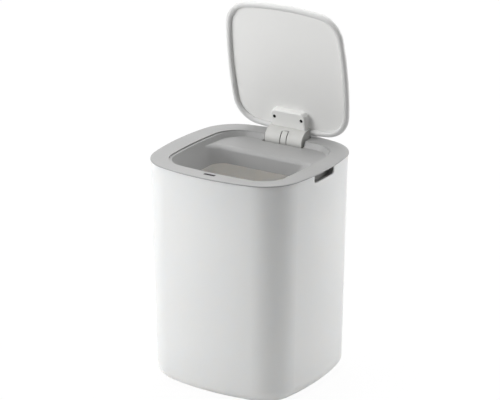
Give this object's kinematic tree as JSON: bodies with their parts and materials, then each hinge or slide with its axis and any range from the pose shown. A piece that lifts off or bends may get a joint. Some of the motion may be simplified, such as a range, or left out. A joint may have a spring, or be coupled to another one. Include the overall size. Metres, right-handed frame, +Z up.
{
  "type": "sensor trash can",
  "caption": "Tall rounded-square kitchen bin with a collar, bag funnel and motor-driven lid that opens to a hand sensor, shown open.",
  "frame": {"origin": "on the floor, under the middle of the bin's footprint", "axes": "+Z up, front of the bin with the sensor towards -Y, hinge side towards +Y, +X to the right seen from the front"},
  "size_m": [0.3332, 0.3236, 0.7043],
  "materials": {
    "body_plastic": "fine satin moulding",
    "collar_plastic": "fine satin moulding",
    "lid_plastic": "fine satin moulding",
    "panel_plastic": "fine satin moulding",
    "hinge_plastic": "fine satin moulding",
    "tray_plastic": "light grain",
    "foot_rubber": "matte",
    "window_plastic": "polished, passes infrared",
    "holder_plastic": "matte",
    "circuit_board": "solder mask",
    "led_resin": "clear tinted resin",
    "cable_jacket": "smooth jacket",
    "lead_jacket": "smooth jacket",
    "bush_plastic": "low-friction moulding",
    "gear_plastic": "low-friction moulding",
    "gearbox_plastic": "light grain",
    "battery_box_plastic": "light grain",
    "dark_screw": "black oxide",
    "steel_shaft": "ground",
    "clip_steel": "spring temper",
    "motor_steel": "zinc plated",
    "motor_cap_plastic": "smooth moulding",
    "pinion_brass": "turned",
    "contact_brass": "tinned",
    "contact_plate": "nickel plated",
    "cell_can": "printed sleeve without text",
    "chip_plastic": "matte moulding",
    "capacitor_can": "sleeved can",
    "connector_plastic": "smooth moulding",
    "slider_plastic": "matte moulding"
  },
  "bodies": {
    "bin": {"outer_body": "body_plastic", "rubber_feet": "foot_rubber"},
    "top": {"collar": "collar_plastic", "sensor_window": "window_plastic", "sensor_holder": "holder_plastic", "sensor_board": "circuit_board", "sensor_leds": "led_resin", "sensor_cable": "cable_jacket", "hinge_bushes": "bush_plastic", "gearbox_frame": "gearbox_plastic", "gearbox_cover": "gearbox_plastic", "gearbox_screws": "dark_screw", "gear_axles": "steel_shaft", "motor_can": "motor_steel", "motor_end_cap": "motor_cap_plastic", "motor_terminals": "contact_brass", "motor_leads": "lead_jacket", "drive_tray": "tray_plastic", "tray_screws": "dark_screw", "control_board": "circuit_board", "board_chips": "chip_plastic", "board_capacitors": "capacitor_can", "board_connectors": "connector_plastic", "battery_box": "battery_box_plastic", "battery_cells": "cell_can", "battery_contacts": "contact_plate", "battery_leads": "lead_jacket", "switch_body": "chip_plastic", "switch_leads": "lead_jacket"},
    "lid": {"lid_shell": "lid_plastic", "lid_inner_panel": "panel_plastic", "hinge_bracket": "hinge_plastic", "bracket_screws": "dark_screw", "hinge_drum": "hinge_plastic", "hinge_shaft": "steel_shaft", "shaft_clip": "clip_steel", "sector_gear": "gear_plastic"},
    "gear_b": {"reduction_gear_b": "gear_plastic"},
    "gear_a": {"reduction_gear_a": "gear_plastic"},
    "motor_rotor": {"motor_pinion": "pinion_brass"},
    "door": {"battery_door": "tray_plastic"},
    "slider": {"switch_slider": "slider_plastic"}
  },
  "joints": [
    {"name": "collar_lift", "type": "slide", "parent": "bin", "child": "top", "axis": [0, 0, 1], "range_m": [0, 0.06]},
    {"name": "lid_hinge", "type": "hinge", "parent": "top", "child": "lid", "pos_m": [0, 0.1407, 0.4305], "axis": [1, 0, 0], "range_deg": [0, 80.8]},
    {"name": "gear_b_spin", "type": "hinge", "parent": "top", "child": "gear_b", "pos_m": [0, 0.1323, 0.41595], "axis": [1, 0, 0], "range_deg": [-259.06, 0]},
    {"name": "gear_a_spin", "type": "hinge", "parent": "top", "child": "gear_a", "pos_m": [0, 0.12011, 0.41206], "axis": [1, 0, 0], "range_deg": [0, 569.33]},
    {"name": "motor_spin", "type": "hinge", "parent": "top", "child": "motor_rotor", "pos_m": [0, 0.1089, 0.40947], "axis": [1, 0, 0], "range_deg": [-2048.3, 0]},
    {"name": "battery_door_hinge", "type": "hinge", "parent": "top", "child": "door", "pos_m": [-0.0756, 0.1154, 0.396], "axis": [1, 0, 0], "range_deg": [0, 85]},
    {"name": "switch_slide", "type": "slide", "parent": "top", "child": "slider", "axis": [1, 0, 0], "range_m": [0, 0.004]}
  ],
  "couplings": [
    {"joint": "gear_b_spin", "follows": "lid_hinge", "ratio": -3.2},
    {"joint": "gear_a_spin", "follows": "lid_hinge", "ratio": 7.04},
    {"joint": "motor_spin", "follows": "lid_hinge", "ratio": -25.344}
  ]
}
